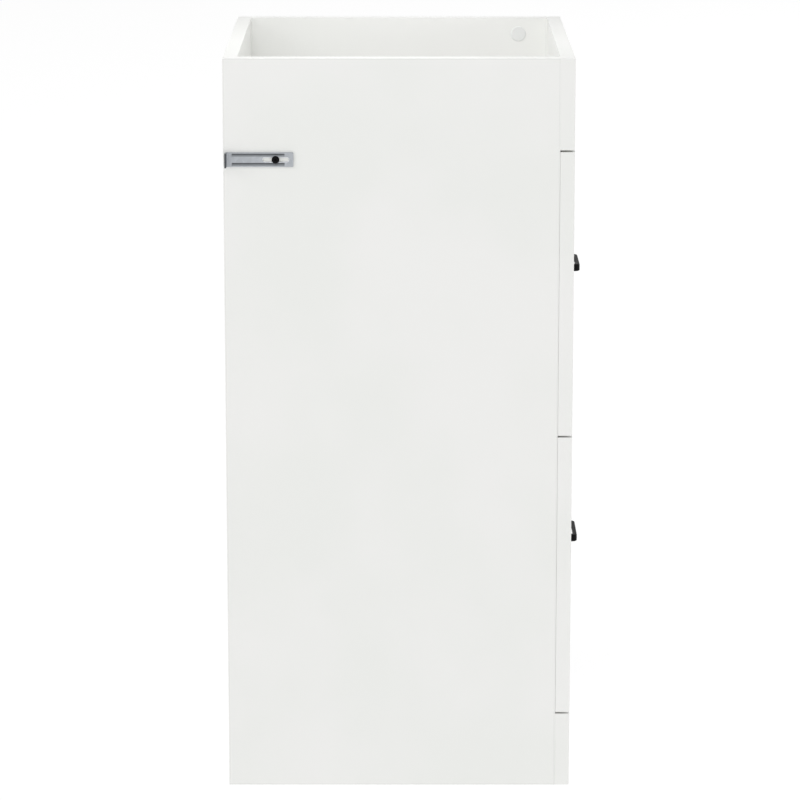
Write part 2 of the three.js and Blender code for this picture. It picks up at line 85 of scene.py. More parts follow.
class Recipe:
    """A material being made: one Principled shader, and short calls that add nodes to feed it."""

    def __init__(self, name, roughness=0.5, metallic=0.0, **fixed):
        self.material = bpy.data.materials.new(name)
        self.material.use_nodes = True
        self.tree = self.material.node_tree
        self.tree.nodes.clear()
        self.shader = self.add("ShaderNodeBsdfPrincipled")
        output = self.add("ShaderNodeOutputMaterial")
        self.tree.links.new(self.shader.outputs["BSDF"], output.inputs["Surface"])
        self.set("Roughness", roughness)
        self.set("Metallic", metallic)
        for socket, value in fixed.items():
            self.set(socket.replace("_", " "), value)
        coordinates = self.add("ShaderNodeTexCoord").outputs
        self.place, self.normal = coordinates["Object"], coordinates["Normal"]

    def add(self, kind, **settings):
        node = self.tree.nodes.new(kind)
        for key, value in settings.items():
            setattr(node, key, value)
        return node

    def feed(self, socket, value):
        if isinstance(value, bpy.types.NodeSocket):
            self.tree.links.new(value, socket)
        else:
            socket.default_value = value

    def set(self, socket, value):
        self.feed(self.shader.inputs[socket], value)

    def math(self, operation, *values):
        node = self.add("ShaderNodeMath", operation=operation)
        for socket, value in zip(node.inputs, values):
            self.feed(socket, value)
        return node.outputs[0]

    def spread(self, value, low, high, start=0.0, end=1.0):
        """value between low and high, turned smoothly into start to end."""
        node = self.add("ShaderNodeMapRange", interpolation_type="SMOOTHSTEP")
        for socket, number in zip(node.inputs, (value, low, high, start, end)):
            self.feed(socket, number)
        return node.outputs[0]

    def split(self, vector):
        """The three parts of a place, a direction or a colour."""
        node = self.add("ShaderNodeSeparateXYZ")
        self.feed(node.inputs[0], vector)
        return node.outputs

    def noise(self, scale, detail=2.0, stretch=(1, 1, 1)):
        """Noise from 0 to 1. A small stretch along an axis draws it out into lines along that axis."""
        mapping = self.add("ShaderNodeMapping")
        self.feed(mapping.inputs["Vector"], self.place)
        mapping.inputs["Scale"].default_value = stretch
        node = self.add("ShaderNodeTexNoise")
        self.feed(node.inputs["Vector"], mapping.outputs[0])
        node.inputs["Scale"].default_value = scale
        node.inputs["Detail"].default_value = detail
        return node.outputs["Fac"]

    def cells(self, scale):
        """Flat patches, each of a colour of its own."""
        node = self.add("ShaderNodeTexVoronoi")
        self.feed(node.inputs["Vector"], self.place)
        node.inputs["Scale"].default_value = scale
        return node.outputs["Color"]

    def blend(self, factor, one, other):
        node = self.add("ShaderNodeMix", data_type="RGBA")
        self.feed(node.inputs["Factor"], factor)
        self.feed(node.inputs[6], one)
        self.feed(node.inputs[7], other)
        return node.outputs[2]

    def bump(self, height, strength, distance):
        node = self.add("ShaderNodeBump")
        node.inputs["Strength"].default_value = strength
        node.inputs["Distance"].default_value = distance
        self.feed(node.inputs["Height"], height)
        self.set("Normal", node.outputs[0])


BAND = 1.2 * MM  # thickness of the edge banding
SEAM = 0.3 * MM  # half width of the joint between the banding and the face
SEAM_STRENGTH = 0.55  # share of SEAM_COLOUR in the middle of that joint
WHITE = srgb(241, 241, 239)
WHITE_SHADE = srgb(238, 239, 236)
SEAM_COLOUR = srgb(210, 211, 208)
CHIPBOARD_LIGHT = srgb(201, 172, 128)
CHIPBOARD_DARK = srgb(128, 97, 62)


def seam_mask(recipe, low, high):
    """1 along the thin lines on a board's broad faces where its edge banding meets the melamine."""
    thin = min(range(3), key=lambda axis: high[axis] - low[axis])
    place = recipe.split(recipe.place)
    lines = []
    for axis in (k for k in range(3) if k != thin):
        middle, half = (low[axis] + high[axis]) / 2, (high[axis] - low[axis]) / 2
        from_middle = recipe.math("ABSOLUTE", recipe.math("SUBTRACT", place[axis], middle))
        from_line = recipe.math("ABSOLUTE", recipe.math("SUBTRACT", from_middle, half - BAND))
        lines.append(recipe.spread(from_line, SEAM, 0.0))
    broad = recipe.spread(recipe.math("ABSOLUTE", recipe.split(recipe.normal)[thin]), 0.8, 0.95)
    return recipe.math("MULTIPLY", recipe.math("MAXIMUM", *lines), broad)


def melamine(name, low, high, raw):
    """White melamine on chipboard, with a fine pearl and the faint joints of the edge banding.

    raw is None, or the axis and sign of an edge without banding, where the chipboard shows.
    """
    recipe = Recipe(name, Specular_IOR_Level=0.42)
    pearl = recipe.noise(2600, 3.0)
    drift = recipe.noise(7, 2.0)
    face = recipe.blend(recipe.spread(drift, 0.3, 0.7), WHITE_SHADE, WHITE)
    seam = recipe.math("MULTIPLY", seam_mask(recipe, low, high), SEAM_STRENGTH)
    colour = recipe.blend(seam, face, SEAM_COLOUR)
    if raw:
        axis, sign = raw
        facing = recipe.math("MULTIPLY", recipe.split(recipe.normal)[axis], float(sign))
        chips = recipe.blend(recipe.cells(520), CHIPBOARD_DARK, CHIPBOARD_LIGHT)
        colour = recipe.blend(recipe.spread(facing, 0.7, 0.9), colour, chips)
    recipe.set("Base Color", colour)
    recipe.set("Roughness", recipe.spread(recipe.noise(900, 2.0), 0.3, 0.7, 0.42, 0.52))
    recipe.bump(pearl, 0.12, 0.05 * MM)
    return recipe.material


def hardboard():
    """Hardboard with a white lacquered upper face and a brown, fibrous underside and edges."""
    recipe = Recipe("white_hardboard", Specular_IOR_Level=0.35)
    fibres = recipe.noise(700, 6.0, (1.0, 0.35, 1.0))
    brown = recipe.blend(fibres, srgb(98, 66, 40), srgb(163, 121, 80))
    white = recipe.blend(recipe.noise(14, 2.0), srgb(229, 229, 224), srgb(235, 235, 231))
    upper = recipe.spread(recipe.split(recipe.normal)[2], 0.3, 0.6)
    recipe.set("Base Color", recipe.blend(upper, brown, white))
    recipe.set("Roughness", recipe.spread(fibres, 0.3, 0.7, 0.5, 0.68))
    recipe.bump(fibres, 0.25, 0.08 * MM)
    return recipe.material


def zinc_plate():
    """Bright zinc plating on small fittings, with a faint yellow and blue drift."""
    recipe = Recipe("zinc_plate", metallic=0.95)
    drift = recipe.noise(160, 3.0)
    recipe.set("Base Color", recipe.blend(drift, srgb(168, 168, 160), srgb(196, 200, 206)))
    recipe.set("Roughness", recipe.spread(recipe.noise(900, 2.0), 0.3, 0.7, 0.24, 0.38))
    recipe.bump(recipe.noise(1500, 2.0), 0.1, 0.03 * MM)
    return recipe.material


def black_metal():
    """Satin black powder coat, with its fine orange peel and slightly greyer patches."""
    recipe = Recipe("black_metal", Specular_IOR_Level=0.1)
    peel = recipe.noise(1900, 2.0)
    recipe.set("Base Color", recipe.blend(recipe.noise(240, 3.0), srgb(5, 5, 6), srgb(14, 14, 15)))
    recipe.set("Roughness", recipe.spread(peel, 0.3, 0.7, 0.36, 0.52))
    recipe.bump(peel, 0.3, 0.05 * MM)
    return recipe.material


def white_enamel():
    """White epoxy on steel sheet: smooth and glossier than the boards, with a long orange peel."""
    recipe = Recipe("white_enamel", Specular_IOR_Level=0.5)
    peel = recipe.noise(420, 2.0)
    recipe.set("Base Color", recipe.blend(recipe.noise(30, 2.0), srgb(230, 230, 226), srgb(237, 237, 234)))
    recipe.set("Roughness", recipe.spread(peel, 0.3, 0.7, 0.22, 0.32))
    recipe.bump(peel, 0.1, 0.05 * MM)
    return recipe.material


def nylon():
    """Moulded nylon: off-white, waxy, with light passing a little way into it."""
    recipe = Recipe("nylon", Subsurface_Weight=0.25, Subsurface_Scale=1.5 * MM)
    flow = recipe.noise(180, 3.0)
    recipe.set("Base Color", recipe.blend(flow, srgb(216, 214, 203), srgb(226, 225, 217)))
    recipe.set("Roughness", recipe.spread(recipe.noise(800, 2.0), 0.3, 0.7, 0.36, 0.48))
    recipe.bump(flow, 0.1, 0.05 * MM)
    return recipe.material


def grey_plastic():
    """The pale grey plastic of the connectors' covers, with the fine spark texture of its mould."""
    recipe = Recipe("grey_plastic")
    spark = recipe.noise(2400, 3.0)
    recipe.set("Base Color", recipe.blend(recipe.noise(90, 2.0), srgb(229, 230, 229), srgb(235, 236, 235)))
    recipe.set("Roughness", recipe.spread(spark, 0.3, 0.7, 0.4, 0.54))
    recipe.bump(spark, 0.2, 0.04 * MM)
    return recipe.material


def beech():
    """Raw beech, with its grain along the dowel."""
    recipe = Recipe("beech_wood", Specular_IOR_Level=0.3)
    grain = recipe.noise(900, 5.0, (1.0, 0.06, 1.0))
    recipe.set("Base Color", recipe.blend(grain, srgb(176, 134, 90), srgb(221, 187, 143)))
    recipe.set("Roughness", recipe.spread(grain, 0.2, 0.8, 0.62, 0.8))
    recipe.bump(grain, 0.35, 0.1 * MM)
    return recipe.material


FINISH = {
    "white_hardboard": hardboard(),
    "zinc_plate": zinc_plate(),
    "black_metal": black_metal(),
    "white_enamel": white_enamel(),
    "nylon": nylon(),
    "grey_plastic": grey_plastic(),
    "beech_wood": beech(),
}


# ------------------------------------------------------------------ making pieces

WELD = 0.01 * MM  # corners of a CAD mesh nearer than this are one
MERGE = 0.0005 * MM  # the same for a mesh that is made here
FLAT = math.radians(0.5)  # faces that turn less than this are one flat face
BEVEL_FROM = math.radians(40)  # edges that turn more than this are rounded
BEVEL_STEPS = 3
SHARP_FROM = math.radians(35)  # edges of a carved piece that turn more than this look sharp


def paint(piece, material):
    piece.data.materials.clear()
    piece.data.materials.append(material)


def round_edges(piece, width):
    """Softens a faceted solid's real edges. The diagonals of its flat faces are dissolved first."""
    weld = piece.modifiers.new("weld", "WELD")
    weld.merge_threshold = WELD
    flat = piece.modifiers.new("flat", "DECIMATE")
    flat.decimate_type = "DISSOLVE"
    flat.angle_limit = FLAT
    bevel = piece.modifiers.new("bevel", "BEVEL")
    bevel.width = width
    bevel.segments = BEVEL_STEPS
    bevel.limit_method = "ANGLE"
    bevel.angle_limit = BEVEL_FROM


def new_object(name, data):
    made = bpy.data.objects.new(name, data)
    bpy.context.scene.collection.objects.link(made)
    return made


def smooth_object(name, mesh):
    for polygon in mesh.polygons:
        polygon.use_smooth = True
    return new_object(name, mesh)


def new_piece(name, mesh, body, slot, material=None):
    """A piece that rides on a body and wears its slot's finish, or the material given instead."""
    piece = smooth_object(name, mesh)
    paint(piece, material or FINISH[slot])
    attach(piece, body)
    return piece


def mesh_from(name, vertices, faces):
    mesh = bpy.data.meshes.new(name)
    mesh.from_pydata([tuple(v) for v in vertices], [], faces)
    mesh.validate()
    work = bmesh.new()
    work.from_mesh(mesh)
    bmesh.ops.remove_doubles(work, verts=work.verts, dist=MERGE)
    bmesh.ops.recalc_face_normals(work, faces=work.faces)
    work.to_mesh(mesh)
    work.free()
    return mesh


def turned(outline, at, direction, segments=64):
    """Vertices and faces of an outline of (radius, station) pairs, turned about direction at a place."""
    spin = Vector(direction).normalized().to_track_quat("Z", "Y").to_matrix()
    vertices, faces = [], []
    for step in range(segments):
        angle = 2 * math.pi * step / segments
        for radius, station in outline:
            point = Vector((radius * math.cos(angle), radius * math.sin(angle), station))
            vertices.append(Vector(at) + spin @ point)
    count = len(outline)
    for step in range(segments):
        here, there = step * count, (step + 1) % segments * count
        for k in range(count - 1):
            faces.append((here + k, here + k + 1, there + k + 1, there + k))
    return vertices, faces


def rounded(outline, radius, steps=4):
    """An outline with every corner between its ends turned into a short curve.

    A curve takes a little under half of a side, so that the curves of two corners can't meet.
    """
    made = [outline[0]]
    for before, corner, after in zip(outline, outline[1:], outline[2:]):
        corner, before, after = Vector(corner), Vector(before), Vector(after)
        reach = min(radius, (before - corner).length / 2.1, (after - corner).length / 2.1)
        start = corner + (before - corner).normalized() * reach
        end = corner + (after - corner).normalized() * reach
        for k in range(steps + 1):
            t = k / steps
            made.append(tuple(start * (1 - t) ** 2 + corner * (2 * t * (1 - t)) + end * t ** 2))
    made.append(outline[-1])
    return made


def carve(piece, *cutters):
    """Cuts the cutters out of a piece's mesh, and removes them."""
    for cutter in cutters:
        cut = piece.modifiers.new("cut", "BOOLEAN")
        cut.object = cutter
        cut.operation = "DIFFERENCE"
        cut.solver = "EXACT"
    graph = bpy.context.evaluated_depsgraph_get()
    carved = bpy.data.meshes.new_from_object(piece.evaluated_get(graph))
    piece.modifiers.clear()
    carved.set_sharp_from_angle(angle=SHARP_FROM)
    piece.data = carved
    for cutter in cutters:
        bpy.data.objects.remove(cutter)


def cutter_from(vertices, faces):
    """A solid for carve. It stays flat-shaded, and so do the faces that it leaves."""
    return new_object("cutter", mesh_from("cutter", vertices, faces))


def lofted(axis, *sections):
    """Vertices and faces through sections, each a level along the axis and an outline in the others."""
    others = [k for k in range(3) if k != axis]
    vertices = []
    for level, outline in sections:
        for point in outline:
            corner = [0.0, 0.0, 0.0]
            corner[axis] = level
            corner[others[0]], corner[others[1]] = point
            vertices.append(corner)
    count = len(sections[0][1])
    last = count * (len(sections) - 1)
    faces = [tuple(range(count)), tuple(range(last + count - 1, last - 1, -1))]
    for start in range(0, last, count):
        for k in range(count):
            k_next = (k + 1) % count
            faces.append((start + k, start + k_next, start + count + k_next, start + count + k))
    return vertices, faces


def prism(outline, axis, low, high):
    return lofted(axis, (low, outline), (high, outline))


def arc(centre, radius, start, end, steps=12):
    """Points on a circle from start to end, in degrees."""
    angles = [math.radians(start + (end - start) * k / steps) for k in range(steps + 1)]
    return [(centre[0] + radius * math.cos(a), centre[1] + radius * math.sin(a)) for a in angles]


# ------------------------------------------------------------------ nodes that keep their CAD shape

NODE_EDGES = {
    # slot: width of the rounded edges
    "white_melamine": 0.45 * MM,
    "white_hardboard": 0.3 * MM,
    "white_enamel": 0.25 * MM,
    "beech_wood": 0.5 * MM,
    "zinc_plate": 0.3 * MM,
}
RAW_EDGES = {
    # node: axis and sign of the edge that has no banding
    "bottom_panel": (1, 1),
    "side_panel_left": (2, -1),
    "side_panel_right": (2, -1),
}


def dress_nodes():
    """Finish and softened edges for these slots' nodes. Only the handles' screws are replaced later."""
    for part in frame["record"]["subparts"]:
        node, slot = part["node"], part["material_slot"]
        if slot not in NODE_EDGES:
            continue
        if slot == "white_melamine":
            material = melamine(f"melamine_{node}", *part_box(node), RAW_EDGES.get(node))
        else:
            material = FINISH[slot]
        paint(frame["nodes"][node], material)
        round_edges(frame["nodes"][node], NODE_EDGES[slot])


# ------------------------------------------------------------------ small turned parts

RECESS_RISE = 0.3  # how far a recess's cutter stands out of the head, as a share of its depth
RECESS_TAPER = 0.5  # width of a recess at its bottom, as a share of its width at the top


def cross_recess(at, direction, reach, width, depth):
    """A cutter for a cross-shaped driver recess, centred on the top of a screw head."""
    out = Vector(direction).normalized()
    side = out.orthogonal().normalized()
    up = out.cross(side)
    arm = ((reach, -width, 0), (reach, width, 0), (width, width, 0))
    outline = []
    for quarter in range(4):
        turn = Matrix.Rotation(math.pi / 2 * quarter, 3, "Z")
        outline += [turn @ Vector(p) for p in arm]
    vertices = []
    for level, share in ((depth * RECESS_RISE, 1.0), (-depth, RECESS_TAPER)):
        for p in outline:
            vertices.append(Vector(at) + side * p.x * share + up * p.y * share + out * level)
    count = len(outline)
    faces = [tuple(range(count)), tuple(range(2 * count - 1, count - 1, -1))]
    faces += [(k, (k + 1) % count, count + (k + 1) % count, count + k) for k in range(count)]
    return cutter_from(vertices, faces)


PAN_HEAD = 2.4 * MM  # height
PAN_SHANK = 2.1 * MM  # radius
PAN_TIP = 2 * MM  # length of the pointed end
PAN_RIM = 0.25  # height of the head's upright rim, as a share of the head's
PAN_TOP, PAN_DOME = 0.55, 0.45  # its flat top and the dome round it, as shares of its radius
DOME_START, DOME_RISE = 0.3, 0.7  # as shares of its height
PAN_RECESS = (2.1 * MM, 0.45 * MM, 1.5 * MM)  # reach, half width and depth


def pan_screw(name, node, axis, sign, slot, body):
    """A pan-head screw in place of its node. axis and sign point from its tip to its head."""
    low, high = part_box(node)
    span = [high[k] - low[k] for k in range(3)]
    radius = max(span[k] for k in range(3) if k != axis) / 2
    length = span[axis]
    seat = length - PAN_HEAD
    direction = Vector([sign if k == axis else 0 for k in range(3)])
    tip = (low + high) / 2
    tip[axis] -= sign * length / 2
    outline = [(0, 0), (PAN_SHANK, PAN_TIP), (PAN_SHANK, seat), (radius, seat)]
    outline.append((radius, seat + PAN_HEAD * PAN_RIM))
    for u, v in arc((0, 0), 1, 0, 90, steps=8):
        up = seat + PAN_HEAD * (DOME_START + DOME_RISE * v)
        outline.append((radius * (PAN_TOP + PAN_DOME * u), up))
    outline.append((0, length))
    mesh = mesh_from(name, *turned(outline, tip, direction, segments=48))
    screw = new_piece(name, mesh, body, slot)
    carve(screw, cross_recess(tip + direction * length, direction, *PAN_RECESS))
    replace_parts(screw, node)


BORE = 3.1 * MM  # radius, as are the next two
HUB = 4.9 * MM
WEB = 7.0 * MM
DISH = 0.7 * MM  # depth of a roller's faces between hub and web
DISH_SLOPE = 0.2 * MM  # how far the dish's sides lean
ROLLER_EDGE = 0.4 * MM


def roller(name, node, body):
    """A nylon roller in place of its node: tread, a shallow web on both faces, and its bore."""
    low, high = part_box(node)
    width, rim = high.x - low.x, (high.z - low.z) / 2
    foot, lip = HUB + DISH_SLOPE, WEB - DISH_SLOPE
    outline = [
        (BORE, 0), (HUB, 0), (foot, DISH), (lip, DISH), (WEB, 0), (rim, 0),
        (rim, width), (WEB, width), (lip, width - DISH), (foot, width - DISH), (HUB, width), (BORE, width),
        (BORE, 0),
    ]
    at = Vector((low.x, (low.y + high.y) / 2, (low.z + high.z) / 2))
    mesh = mesh_from(name, *turned(rounded(outline, ROLLER_EDGE, steps=2), at, (1, 0, 0)))
    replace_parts(new_piece(name, mesh, body, "nylon"), node)


COVER_RIM = 0.2  # height of a cam cover's upright rim, as a share of its node's height
COVER_SHOULDER = (0.9, 0.42)  # where its chamfer ends, as shares of radius and height
COVER_TOP = 0.5  # height in its middle, as a share
COVER_EDGE = 0.3 * MM
# the corners of the lifting notch, across and up from the lowest point of the rim
NOTCH = ((-1 * MM, -1 * MM), (1 * MM, -1 * MM), (0.7 * MM, 0.8 * MM), (-0.7 * MM, 0.8 * MM))
NOTCH_REACH = 3 * MM


def cam_cover(name, node, side):
    """The cover in place of its node: a slightly domed disc with a small lifting notch in its rim."""
    low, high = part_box(node)
    inward = -SIDES[side]
    at = (low + high) / 2
    at.x = low.x if inward > 0 else high.x
    radius, height = (high.z - low.z) / 2, high.x - low.x
    shoulder, shoulder_height = COVER_SHOULDER
    outline = [(0, 0), (radius, 0), (radius, height * COVER_RIM)]
    outline += [(radius * shoulder, height * shoulder_height), (0, height * COVER_TOP)]
    mesh = mesh_from(name, *turned(rounded(outline, COVER_EDGE), at, (inward, 0, 0), segments=72))
    piece = new_piece(name, mesh, "cabinet", "grey_plastic")
    notch = [(at.y + dy, at.z - radius + dz) for dy, dz in NOTCH]
    carve(piece, cutter_from(*prism(notch, 0, at.x - NOTCH_REACH, at.x + NOTCH_REACH)))
    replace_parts(piece, node)


# ------------------------------------------------------------------ handles

HANDLE_LEG = 7 * MM  # thickness of each leg, along the handle
HANDLE_BAR = 4 * MM  # thickness of the grip
HANDLE_CORNER = 6 * MM  # radius outside
HANDLE_CROOK = 3 * MM  # radius inside
HANDLE_EDGE = 1.1 * MM
HANDLE_EDGE_STEPS = 4
HANDLE_EDGE_FROM = math.radians(50)  # edges that turn more than this are rounded


def handle(level):
    """A bow handle of flat bar in place of its node, with rounded corners and softened edges."""
    node, name = f"{level}_handle", f"{level}_bow_handle"
    low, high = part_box(node)
    centre = (low + high) / 2
    half, reach, tall = (high.x - low.x) / 2, high.y - low.y, high.z - low.z
    corner, crook = HANDLE_CORNER, HANDLE_CROOK
    face = high.y
    inner, under = half - HANDLE_LEG, face - reach + HANDLE_BAR
    outline = [(half, face), (inner, face)]
    outline += arc((inner - crook, under + crook), crook, 0, -90)
    outline += arc((-inner + crook, under + crook), crook, -90, -180)
    outline += [(-inner, face), (-half, face)]
    outline += arc((-half + corner, face - reach + corner), corner, 180, 270)
    outline += arc((half - corner, face - reach + corner), corner, 270, 360)
    mesh = mesh_from(name, *prism(outline, 2, centre.z - tall / 2, centre.z + tall / 2))
    piece = new_piece(name, mesh, f"{level}_drawer", "black_metal")
    bevel = piece.modifiers.new("bevel", "BEVEL")
    bevel.width = HANDLE_EDGE
    bevel.segments = HANDLE_EDGE_STEPS
    bevel.angle_limit = HANDLE_EDGE_FROM
    bevel.harden_normals = True
    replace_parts(piece, node)


# ------------------------------------------------------------------ wall brackets

SHEET = 2 * MM
BEND = 1 * MM  # inside radius where the bracket turns out to the wall leg
BRACKET_CORNER = 1.0 * MM  # radius of the corners at both ends
CORNER_SHARE = 0.999  # of a corner's rounding, so that it stops just short of the full radius
GROOVE_DEPTH = 0.8 * MM
GROOVE_HALF = 1.8 * MM  # half width
GROOVE_OFFSET = 5.1 * MM  # from the bracket's centre line to a groove's
GROOVE_SPAN = (6.9 * MM, 66.2 * MM)  # from the back of the wall leg, as is the slot's
GROOVE_RUN = 1.6 * MM  # from a groove's end to its full depth
GROOVE_ROUNDNESS = 1.3  # power of the cosine that a groove's section follows
SLOT_SPAN = (41.7 * MM, 69.8 * MM)
SLOT_HALF = 2.0 * MM  # half width
SLOT_RIM = 0.8 * MM  # chamfer round the slot
WALL_HOLE = 3.2 * MM  # radius
EDGE_STEPS = (0.0, 0.03 * MM, 0.09 * MM, 0.18 * MM, 0.3 * MM)  # across the bracket's rounded edge
EDGE_GAP = 0.15 * MM  # from the rounded edge to the first row of the flat part
ROWS = 20  # of the flat part, on each side of its middle
END_STEPS = (0.6 * MM, 1.0 * MM, 1.5 * MM)  # from the end of the long leg, beyond its rounded edge
GROOVE_STEP = 0.4 * MM  # of the stations where a groove begins or ends
GROOVE_STATIONS = 6
LONG_LEG_STEP = 1.2 * MM
BEND_STATIONS = 8
WALL_LEG_STATIONS = 5  # evenly spaced from the bend to WALL_LEG_END
WALL_LEG_END = 3 * MM  # from the end of the wall leg, as are the next
WALL_LEG_END_STEPS = (2.0 * MM, 1.4 * MM, 1.0 * MM, 0.6 * MM)

GROOVE_SHADE_RUN = 1.5 * MM  # from a groove's end to its full painted shade
GROOVE_SHADES = (
    # start and end in half widths up from a groove's centre line, and the painted shade at each; it is
    # darkest towards the groove's upper wall
    (-1.05, -0.75, 0.0, 0.6),
    (-0.4, 0.5, 0.0, 0.4),
    (0.8, 1.05, 1.0, 0.0),
)
# colour of the painted shade in the pressed grooves
GROOVE_SHADOW_COLOUR = srgb(101, 104, 107)
GROOVE_DULLNESS = 0.2  # added to the roughness
# colour of the painted highlight on the chamfer round the slot
RIM_HIGHLIGHT_COLOUR = srgb(238, 240, 242)
RIM_HIGHLIGHT_FADE = 0.15 * MM
# colour of the painted shade on the bent wall leg
LEG_SHADOW_COLOUR = srgb(92, 95, 99)
LEG_SHADOW_FADE = (2.2 * MM, 5 * MM)  # where the leg's painted shade fades in, out from the panel
# strength of the leg's painted shade
LEG_SHADOW_STRENGTH = 0.75
CUT_END_COLOUR = srgb(84, 86, 89)
CUT_END_FADE = (0.5 * MM, 0.15 * MM)  # from the end of the wall leg


def bracket_steel(name, low, high, sign):
    """Galvanised steel, with its spangles and the fine lines of the rolling.

    It has painted shade in the pressed grooves and on the bent leg, is dark on its cut end, and has a
    painted highlight on the chamfer round the slot.
    """
    recipe = Recipe(name, metallic=0.85)
    spangle = recipe.split(recipe.cells(260))[0]
    rolling = recipe.noise(2200, 2.0, (1.0, 0.04, 1.0))
    tone = recipe.math("ADD", recipe.math("MULTIPLY", spangle, 0.6), recipe.math("MULTIPLY", rolling, 0.4))
    plate = recipe.blend(tone, srgb(168, 172, 177), srgb(190, 194, 199))
    x, y, z = recipe.split(recipe.place)
    from_rear = recipe.math("SUBTRACT", high.y, y)
    start, end = GROOVE_SPAN
    along = recipe.math(
        "MULTIPLY",
        recipe.spread(from_rear, start, start + GROOVE_SHADE_RUN),
        recipe.spread(from_rear, end - GROOVE_SHADE_RUN, end, 1.0, 0.0),
    )
    # painted shade in each pressed groove, darkest towards its upper wall
    grooves = []
    for centre in (-GROOVE_OFFSET, GROOVE_OFFSET):
        height = recipe.math("SUBTRACT", z, (low.z + high.z) / 2 + centre)
        lower, middle, upper = (
            recipe.spread(height, low_edge * GROOVE_HALF, high_edge * GROOVE_HALF, *shades)
            for low_edge, high_edge, *shades in GROOVE_SHADES
        )
        grooves.append(recipe.math("MULTIPLY", recipe.math("ADD", lower, middle), upper))
    groove = recipe.math("MULTIPLY", recipe.math("MAXIMUM", *grooves), along)
    start, end = SLOT_SPAN
    beyond = recipe.math(
        "MAXIMUM",
        recipe.math("SUBTRACT", start + SLOT_HALF, from_rear),
        recipe.math("SUBTRACT", from_rear, end - SLOT_HALF),
    )
    beyond = recipe.math("MAXIMUM", beyond, 0.0)
    level = recipe.math("ABSOLUTE", recipe.math("SUBTRACT", z, (low.z + high.z) / 2))
    squares = recipe.math("ADD", recipe.math("POWER", beyond, 2.0), recipe.math("POWER", level, 2.0))
    from_slot = recipe.math("SQRT", squares)
    # a painted highlight on the chamfer round the slot, fading out just beyond it
    rim_edge = SLOT_HALF + SLOT_RIM
    rim = recipe.spread(from_slot, rim_edge, rim_edge + RIM_HIGHLIGHT_FADE, 1.0, 0.0)
    panel_x = high.x if sign < 0 else low.x
    out = recipe.math("MULTIPLY", recipe.math("SUBTRACT", x, panel_x), float(sign))
    reach = high.x - low.x
    # painted shade on the bent wall leg, fading in out from the panel
    leg = recipe.spread(out, *LEG_SHADOW_FADE, 0.0, LEG_SHADOW_STRENGTH)
    cut_end = recipe.spread(out, reach - CUT_END_FADE[0], reach - CUT_END_FADE[1])
    # painted shade in the grooves
    colour = recipe.blend(groove, plate, GROOVE_SHADOW_COLOUR)
    # painted highlight on the chamfer round the slot
    colour = recipe.blend(rim, colour, RIM_HIGHLIGHT_COLOUR)
    # painted shade on the bent leg
    colour = recipe.blend(leg, colour, LEG_SHADOW_COLOUR)
    recipe.set("Base Color", recipe.blend(cut_end, colour, CUT_END_COLOUR))
    polish = recipe.spread(tone, 0.1, 0.9, 0.34, 0.46)
    dullness = recipe.math("MULTIPLY", groove, GROOVE_DULLNESS)
    recipe.set("Roughness", recipe.math("ADD", polish, dullness))
    recipe.bump(rolling, 0.15, 0.03 * MM)
    return recipe.material


def smooth_step(t):
    t = min(1.0, max(0.0, t))
    return t * t * (3 - 2 * t)


def groove_dip(from_rear, height):
    """How deep the pressed grooves are at a place on the bracket's long leg."""
    start, end = GROOVE_SPAN
    along = smooth_step((from_rear - start) / GROOVE_RUN) * smooth_step((end - from_rear) / GROOVE_RUN)
    off = abs(abs(height) - GROOVE_OFFSET) / GROOVE_HALF
    return GROOVE_DEPTH * along * math.cos(min(1.0, off) * math.pi / 2) ** GROOVE_ROUNDNESS


def edge_drop(inwards):
    """How far the rounded edge lies under the bracket's face, at a distance inwards from the outline."""
    return EDGE_STEPS[-1] - math.sqrt(EDGE_STEPS[-1] ** 2 - max(0.0, EDGE_STEPS[-1] - inwards) ** 2)


def bracket_rows(width):
    """Heights across the bracket, closer together towards its rounded edges."""
    inside = width - EDGE_STEPS[-1] - EDGE_GAP
    plain = [inside * (k / ROWS - 1) for k in range(2 * ROWS + 1)]
    return [d - width for d in EDGE_STEPS] + plain + [width - d for d in reversed(EDGE_STEPS)]


def bracket_stations(length, reach):
    """Places along the bracket, from the front end of its long leg to the end of its wall leg.

    Each is the middle of the sheet as (out from the panel, from the rear), its outward normal, and how
    far the end of that leg is.
    """
    half = SHEET / 2
    turn = BEND + half
    bend = SHEET + BEND  # where the bend meets each leg
    stations = []
    start, end = GROOVE_SPAN
    fine = [start + k * GROOVE_STEP for k in range(GROOVE_STATIONS)]
    fine += [end - k * GROOVE_STEP for k in range(GROOVE_STATIONS)]
    plain = [bend + k * LONG_LEG_STEP for k in range(int((length - BEND - SHEET) / LONG_LEG_STEP))]
    ends = [length - d for d in (*EDGE_STEPS, *END_STEPS)]
    for from_rear in sorted(set(fine + plain + ends), reverse=True):
        stations.append(((half, from_rear), (1.0, 0.0), length - from_rear))
    for k in range(1, BEND_STATIONS + 1):
        angle = math.pi / 2 * k / BEND_STATIONS
        point = (bend - turn * math.cos(angle), bend - turn * math.sin(angle))
        stations.append((point, (math.cos(angle), math.sin(angle)), reach))
    run = reach - WALL_LEG_END - bend
    outs = [bend + k * run / WALL_LEG_STATIONS for k in range(1, WALL_LEG_STATIONS + 1)]
    outs += [reach - d for d in (*WALL_LEG_END_STEPS, *reversed(EDGE_STEPS))]
    for out in outs:
        stations.append(((out, half), (0.0, 1.0), reach - out))
    return stations


